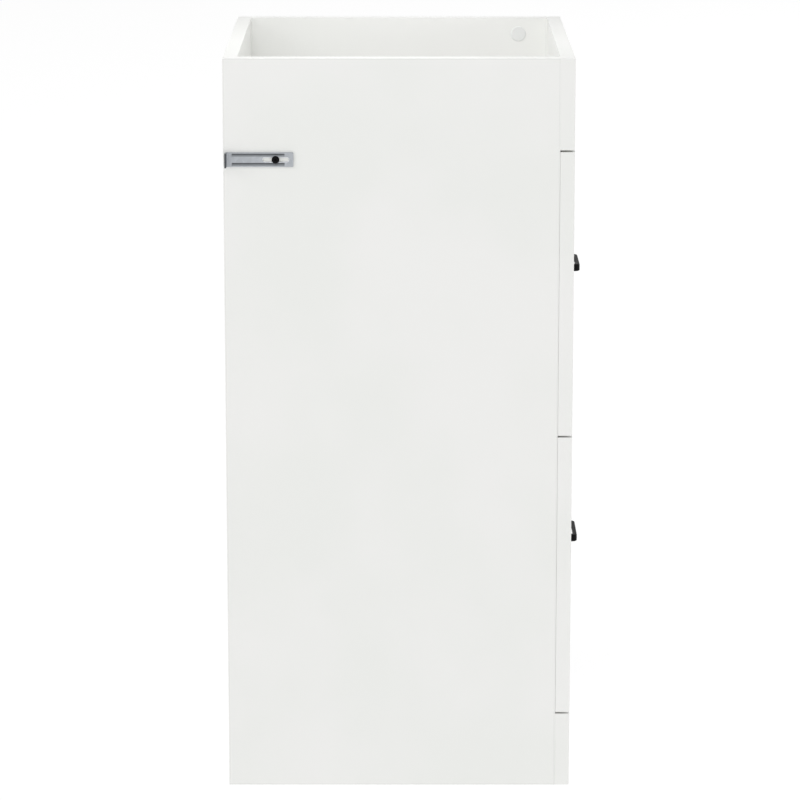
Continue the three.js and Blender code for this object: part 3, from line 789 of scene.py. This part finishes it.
def wall_bracket(side):
    """The bracket in place of its node: bent sheet with two pressed grooves, a slot and a hole."""
    node = f"wall_bracket_{side}"
    low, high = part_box(node)
    sign = SIDES[side]
    panel_x = high.x if sign < 0 else low.x
    rear, centre_z = high.y, (low.z + high.z) / 2
    length, reach, half_height = high.y - low.y, high.x - low.x, (high.z - low.z) / 2
    corner = BRACKET_CORNER

    def place(out, from_rear, height):
        return Vector((panel_x + sign * out, rear - from_rear, centre_z + height))

    across = len(bracket_rows(half_height))
    outer, inner = [], []
    for (out, from_rear), (nx, ny), from_end in bracket_stations(length, reach):
        short = max(0.0, corner - from_end)
        width = half_height - (corner - math.sqrt(max(0.0, corner ** 2 - short ** 2))) * CORNER_SHARE
        for height in bracket_rows(width):
            dip = groove_dip(from_rear, height) if ny == 0.0 else 0.0
            lift = SHEET / 2 - dip - edge_drop(min(width - abs(height), from_end))
            outer.append(place(out + nx * lift, from_rear + ny * lift, height))
            inner.append(place(out - nx * SHEET / 2, from_rear - ny * SHEET / 2, height))
    count = len(outer)
    faces = []
    for k in range(count // across - 1):
        here, there = k * across, (k + 1) * across
        for r in range(across - 1):
            faces.append((here + r, here + r + 1, there + r + 1, there + r))
            faces.append((count + here + r, count + there + r, count + there + r + 1, count + here + r + 1))
        for r in (0, across - 1):
            faces.append((here + r, there + r, count + there + r, count + here + r))
    for start in (0, count - across):
        for r in range(across - 1):
            faces.append((start + r, start + r + 1, count + start + r + 1, count + start + r))
    name = f"galvanised_bracket_{side}"
    steel = bracket_steel(f"bracket_steel_{side}", low, high, sign)
    mesh = mesh_from(name, outer + inner, faces)
    bracket = new_piece(name, mesh, "cabinet", "galvanised_steel", steel)
    near, far = rear - SLOT_SPAN[0] - SLOT_HALF, rear - SLOT_SPAN[1] + SLOT_HALF

    def slot(grow):
        half = SLOT_HALF + grow
        return arc((near, centre_z), half, -90, 90) + arc((far, centre_z), half, 90, 270)

    face_x = panel_x + sign * SHEET
    hole_x = panel_x + sign * (reach + SHEET) / 2
    hole = arc((hole_x, centre_z), WALL_HOLE, 0, 360, steps=40)[:-1]
    chamfered_slot = lofted(
        0,
        (panel_x - sign * SHEET, slot(0)),
        (face_x - sign * SLOT_RIM, slot(0)),
        (face_x + sign * SLOT_RIM, slot(2 * SLOT_RIM)),
    )
    wall_hole = prism(hole, 1, rear - 2 * SHEET, rear + SHEET)
    carve(bracket, cutter_from(*chamfered_slot), cutter_from(*wall_hole))
    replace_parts(bracket, node)


# ------------------------------------------------------------------ screws and connectors outside the CAD

RUNNER_SHEET = 1.2 * MM
RUNNER_SCREWS = (37 * MM, 101 * MM, 197 * MM, 261 * MM)  # from a runner's front end
DRAWER_SCREW_UP = 12 * MM  # from the foot of a drawer's runner
COUNTERSUNK = 3.2 * MM  # radius
COUNTERSUNK_PROUD = 0.25 * MM
COUNTERSUNK_CROWN = 1.1  # height in its middle, as a share of that
COUNTERSUNK_DEPTH = 1 * MM
COUNTERSUNK_FOOT, COUNTERSUNK_TOP = 0.9, 0.94  # as shares of its radius
COUNTERSUNK_RECESS = (1.7 * MM, 0.35 * MM, 0.9 * MM)  # reach, half width and depth


def countersunk(name, at, direction, body):
    """The head of a countersunk screw, almost flush with the sheet it holds, with its cross recess."""
    radius, proud, depth = COUNTERSUNK, COUNTERSUNK_PROUD, COUNTERSUNK_DEPTH
    outline = [(0, -depth), (radius * COUNTERSUNK_FOOT, -depth), (radius, 0)]
    outline += [(radius * COUNTERSUNK_TOP, proud), (0, proud * COUNTERSUNK_CROWN)]
    mesh = mesh_from(name, *turned(outline, at, direction, segments=32))
    head = new_piece(name, mesh, body, "zinc_plate")
    carve(head, cross_recess(Vector(at) + Vector(direction) * proud, direction, *COUNTERSUNK_RECESS))


def runner_screws():
    """Four screws in each runner member: into the side panel, or into the drawer's side."""
    for level in LEVELS:
        for side, sign in SIDES.items():
            low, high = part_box(f"{level}_cabinet_runner_{side}")
            panel_x = low.x if sign < 0 else high.x
            mid_z = (low.z + high.z) / 2
            for index, from_front in enumerate(RUNNER_SCREWS):
                at = (panel_x - sign * RUNNER_SHEET, low.y + from_front, mid_z)
                countersunk(f"{level}_cabinet_screw_{side}_{index}", at, (-sign, 0, 0), "cabinet")
            low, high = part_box(f"{level}_drawer_runner_{side}")
            board_low, board_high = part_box(f"{level}_drawer_side_{side}")
            wall_x = board_low.x if sign < 0 else board_high.x
            for index, from_front in enumerate(RUNNER_SCREWS):
                at = (wall_x + sign * RUNNER_SHEET, low.y + from_front, low.z + DRAWER_SCREW_UP)
                countersunk(f"{level}_drawer_screw_{side}_{index}", at, (sign, 0, 0), f"{level}_drawer")


CAM = 7.2 * MM  # radius, as is the next
DRAWER_CAM = 6 * MM
CAM_DEPTH = 1.2 * MM
CAM_SHOULDER, CAM_RIM = 0.15 * MM, 0.3 * MM  # heights over the board's face, as is the next
CAM_FACE = 0.1 * MM  # inside the rim
CAM_RIM_SPAN = (0.9, 0.84)  # outer and inner radius of the rim, as shares of the cam's
CAM_EDGE = 0.15 * MM
CAM_RECESS = (3.2 * MM, 0.7 * MM, 1.0 * MM)  # reach, half width and depth
CAM_SETBACK = 34 * MM  # from the board's ends
BOTTOM_CAM_SETBACK = 60 * MM  # from the bottom panel's front and rear edges
DRAWER_CAM_SETBACK = 25 * MM  # from the front end of a drawer's side
DRAWER_CAM_UP = 0.55  # share of the height of a drawer's side


def connector(name, at, direction, body, radius=CAM):
    """A zinc cam, flush in the board that it pulls tight, with its driver cross and rim."""
    rim, inside = CAM_RIM_SPAN
    outline = [(0, -CAM_DEPTH), (radius, -CAM_DEPTH), (radius, CAM_SHOULDER)]
    outline += [(radius * rim, CAM_RIM), (radius * inside, CAM_FACE), (0, CAM_FACE)]
    outline = rounded(outline, CAM_EDGE, steps=2)
    mesh = mesh_from(name, *turned(outline, at, direction, segments=48))
    cam = new_piece(name, mesh, body, "zinc_plate")
    carve(cam, cross_recess(Vector(at) + Vector(direction) * CAM_FACE, direction, *CAM_RECESS))


def connectors():
    """Cams show on the back rails' outer faces, under the bottom panel and inside the drawer sides."""
    for rail in ("back_rail_top", "back_rail_bottom"):
        low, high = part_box(rail)
        for side, sign in SIDES.items():
            x = (low.x + CAM_SETBACK) if sign < 0 else (high.x - CAM_SETBACK)
            connector(f"{rail}_cam_{side}", (x, high.y, (low.z + high.z) / 2), (0, 1, 0), "cabinet")
    low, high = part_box("bottom_panel")
    for side, sign in SIDES.items():
        x = (low.x + CAM_SETBACK) if sign < 0 else (high.x - CAM_SETBACK)
        for end, y in (("front", low.y + BOTTOM_CAM_SETBACK), ("rear", high.y - BOTTOM_CAM_SETBACK)):
            connector(f"bottom_cam_{end}_{side}", (x, y, low.z), (0, 0, -1), "cabinet")
    for level in LEVELS:
        for side, sign in SIDES.items():
            low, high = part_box(f"{level}_drawer_side_{side}")
            inner_x = high.x if sign < 0 else low.x
            at = (inner_x, low.y + DRAWER_CAM_SETBACK, low.z + DRAWER_CAM_UP * (high.z - low.z))
            connector(f"{level}_drawer_cam_{side}", at, (-sign, 0, 0), f"{level}_drawer", DRAWER_CAM)


# ------------------------------------------------------------------ stage, light and camera

FLOOR_RADIUS = 30.0
FLOOR_CURVE = 3.2  # height and radius of the curve that the paper rises in at its rim
FLOOR_RINGS = (2, 8)  # radii of the rings that split its flat part
FLOOR_GLOW = 0.77  # up to the first of the two distances below
FLOOR_RIM_GLOW = 1.0  # from the second on
FLOOR_GLOW_SPAN = (8.0, 16.0)
FLOOR_ALBEDO = 0.35
SKY = 0.5
LIGHTS = {
    # name: place from the middle of the cabinet, diameter, and power in watts
    "rear_left": ((-3.5, 7.2, 4.6), 4.0, 130.0),
    "camera_side": ((-6.8, 1.2, 6.2), 4.0, 105.0),
    "front_right": ((5.6, -5.6, 4.4), 4.0, 135.0),
    "overhead": ((-0.07, 0.04, 0.8), 0.4, 1.2),
}


def floor():
    """A round sheet of pale paper that curves up at its rim, and glows a little like a lit backdrop."""
    outline = [(0, 0), *((radius, 0) for radius in FLOOR_RINGS)]
    outline += arc((FLOOR_RADIUS - FLOOR_CURVE, FLOOR_CURVE), FLOOR_CURVE, -90, 0, steps=24)
    mesh = mesh_from("floor", *turned(outline, (0, 0, 0), (0, 0, 1), segments=128))
    ground = smooth_object("floor", mesh)
    recipe = Recipe("floor_paper", roughness=0.9, Specular_IOR_Level=0.0)
    recipe.set("Base Color", (FLOOR_ALBEDO, FLOOR_ALBEDO, FLOOR_ALBEDO, 1))
    x, y, _ = recipe.split(recipe.place)
    away = recipe.math("ADD", recipe.math("POWER", x, 2.0), recipe.math("POWER", y, 2.0))
    start, end = FLOOR_GLOW_SPAN
    recipe.set("Emission Color", (1, 1, 1, 1))
    recipe.set("Emission Strength", recipe.spread(away, start ** 2, end ** 2, FLOOR_GLOW, FLOOR_RIM_GLOW))
    paint(ground, recipe.material)


def area_light(name, at, target, size, power):
    data = bpy.data.lights.new(name, "AREA")
    data.shape = "DISK"
    data.size = size
    data.energy = power
    light = new_object(name, data)
    light.visible_camera = False
    light.location = at
    light.rotation_euler = (Vector(target) - Vector(at)).to_track_quat("-Z", "Y").to_euler()


def studio():
    world = bpy.data.worlds.new("studio")
    world.use_nodes = True
    background = world.node_tree.nodes["Background"]
    background.inputs["Color"].default_value = (1, 1, 1, 1)
    background.inputs["Strength"].default_value = SKY
    bpy.context.scene.world = world
    low, high = cad_box
    centre = (low + high) / 2
    for name, (offset, size, power) in LIGHTS.items():
        area_light(name, centre + Vector(offset), centre, size, power)
    bpy.context.scene.view_settings.view_transform = "Standard"


CAMERA_AWAY = 4.0  # from the left side panel's outer face
CAMERA_FORWARD = 1.1 * MM  # from the middle of the side with its fronts, towards the drawers
CAMERA_HEIGHT = 1.3175
CAMERA_PITCH = 12.28  # degrees below level
CAMERA_LENS = 166.1  # focal length in millimetres, as is the sensor's width
SENSOR = 36.0


def camera():
    low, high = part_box("side_panel_left")
    data = bpy.data.cameras.new("camera")
    data.sensor_width = SENSOR
    data.lens = CAMERA_LENS
    eye = new_object("camera", data)
    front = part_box("upper_drawer_front")[0].y
    eye.location = (low.x - CAMERA_AWAY, (front + high.y) / 2 - CAMERA_FORWARD, CAMERA_HEIGHT)
    down = math.radians(CAMERA_PITCH)
    ahead = Vector((math.cos(down), 0, -math.sin(down)))
    eye.rotation_euler = ahead.to_track_quat("-Z", "Y").to_euler()
    bpy.context.scene.camera = eye


# ------------------------------------------------------------------ the whole scene

dress_nodes()
for side, sign in SIDES.items():
    wall_bracket(side)
    pan_screw(f"black_screw_{side}", f"bracket_screw_{side}", 0, sign, "black_metal", "cabinet")
    cam_cover(f"cam_cap_{side}", f"cam_cover_{side}", side)
for level in LEVELS:
    handle(level)
    for side in SIDES:
        node = f"{level}_handle_screw_{side}"
        pan_screw(f"{level}_zinc_screw_{side}", node, 1, 1, "zinc_plate", f"{level}_drawer")
        for end in ("front", "rear"):
            node = f"{level}_{end}_roller_{side}"
            roller(f"{level}_{end}_nylon_roller_{side}", node, f"{level}_{end}_rollers")
runner_screws()
connectors()
floor()
studio()
camera()
